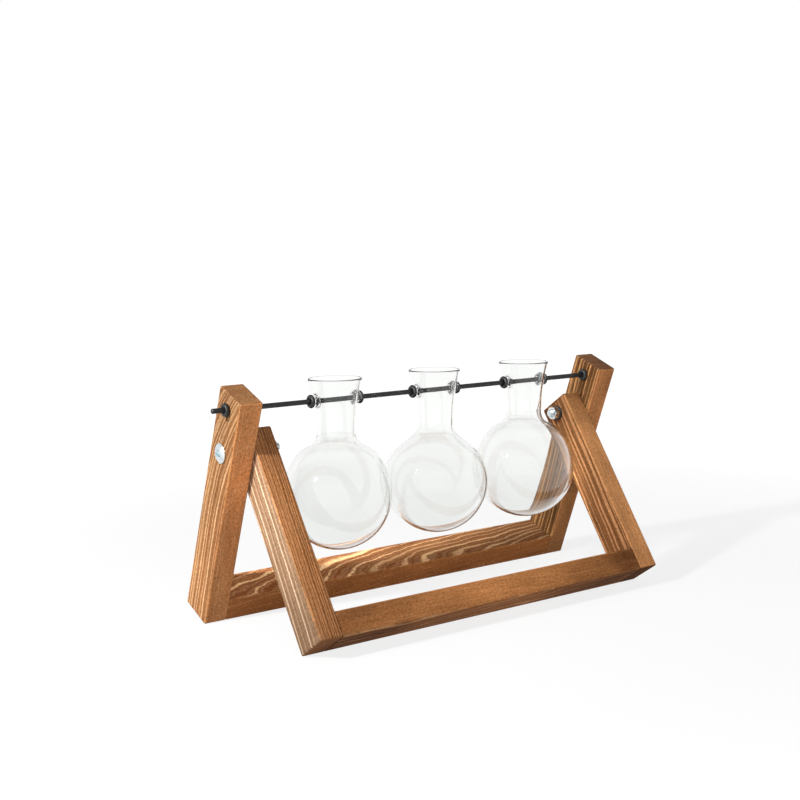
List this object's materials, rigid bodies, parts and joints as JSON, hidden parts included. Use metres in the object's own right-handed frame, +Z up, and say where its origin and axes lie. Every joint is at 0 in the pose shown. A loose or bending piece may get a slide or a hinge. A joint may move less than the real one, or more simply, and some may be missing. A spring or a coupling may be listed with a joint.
{
  "type": "propagation vase",
  "caption": "Folding scorched-wood stand with a black rod that carries clear glass bulb vases in a row, each free to swing and to slide between rubber rings.",
  "frame": {"origin": "on the table, under the middle of the stand's outline", "axes": "+X to the right along the rod, +Y from the front to the back, +Z up"},
  "size_m": [0.31, 0.1312, 0.1471],
  "materials": {
    "scorched_wood": "scorched and brushed softwood under thin clear oil",
    "dowel_wood": "plain fluted-free birch",
    "clear_glass": "clear blown glass",
    "rod_black": "satin black",
    "rubber": "black rubber",
    "zinc": "bright zinc plate",
    "washer_black": "black nylon"
  },
  "bodies": {
    "rear_frame": {"long_leg_left": "scorched_wood", "long_leg_right": "scorched_wood", "rear_rail": "scorched_wood", "rear_rail_dowels": "dowel_wood", "pivot_bolt_left": "zinc", "pivot_bolt_right": "zinc", "pivot_washer_left": "washer_black", "pivot_washer_right": "washer_black", "pivot_nut_left": "zinc", "pivot_nut_right": "zinc"},
    "front_frame": {"short_leg_left": "scorched_wood", "short_leg_right": "scorched_wood", "front_rail": "scorched_wood", "front_rail_dowels": "dowel_wood"},
    "rod": {"hanging_rod": "rod_black", "rod_stop_ring_left_inner": "rubber", "rod_stop_ring_left_outer": "rubber", "rod_stop_ring_right_inner": "rubber", "rod_stop_ring_right_outer": "rubber"},
    "left_vase_rings": {"vase_left_ring_left": "rubber", "vase_left_ring_right": "rubber"},
    "left_vase": {"vase_left": "clear_glass"},
    "middle_vase_rings": {"vase_middle_ring_left": "rubber", "vase_middle_ring_right": "rubber"},
    "middle_vase": {"vase_middle": "clear_glass"},
    "right_vase_rings": {"vase_right_ring_left": "rubber", "vase_right_ring_right": "rubber"},
    "right_vase": {"vase_right": "clear_glass"}
  },
  "joints": [
    {"name": "stand_fold", "type": "hinge", "parent": "rear_frame", "child": "front_frame", "pos_m": [0, 0.01344, 0.10797], "axis": [1, 0, 0], "range_deg": [-64, 40]},
    {"name": "rod_spin", "type": "hinge", "parent": "rear_frame", "child": "rod", "pos_m": [0, 0.00314, 0.13411], "axis": [1, 0, 0], "continuous": true},
    {"name": "left_vase_slide", "type": "slide", "parent": "rear_frame", "child": "left_vase_rings", "axis": [1, 0, 0], "range_m": [-0.004, 0.004]},
    {"name": "left_vase_swing", "type": "hinge", "parent": "left_vase_rings", "child": "left_vase", "pos_m": [-0.0729, 0.00314, 0.13411], "axis": [1, 0, 0], "continuous": true},
    {"name": "middle_vase_slide", "type": "slide", "parent": "rear_frame", "child": "middle_vase_rings", "axis": [1, 0, 0], "range_m": [-0.004, 0.004]},
    {"name": "middle_vase_swing", "type": "hinge", "parent": "middle_vase_rings", "child": "middle_vase", "pos_m": [0.0011, 0.00314, 0.13411], "axis": [1, 0, 0], "continuous": true},
    {"name": "right_vase_slide", "type": "slide", "parent": "rear_frame", "child": "right_vase_rings", "axis": [1, 0, 0], "range_m": [-0.004, 0.004]},
    {"name": "right_vase_swing", "type": "hinge", "parent": "right_vase_rings", "child": "right_vase", "pos_m": [0.0751, 0.00314, 0.13411], "axis": [1, 0, 0], "continuous": true}
  ]
}
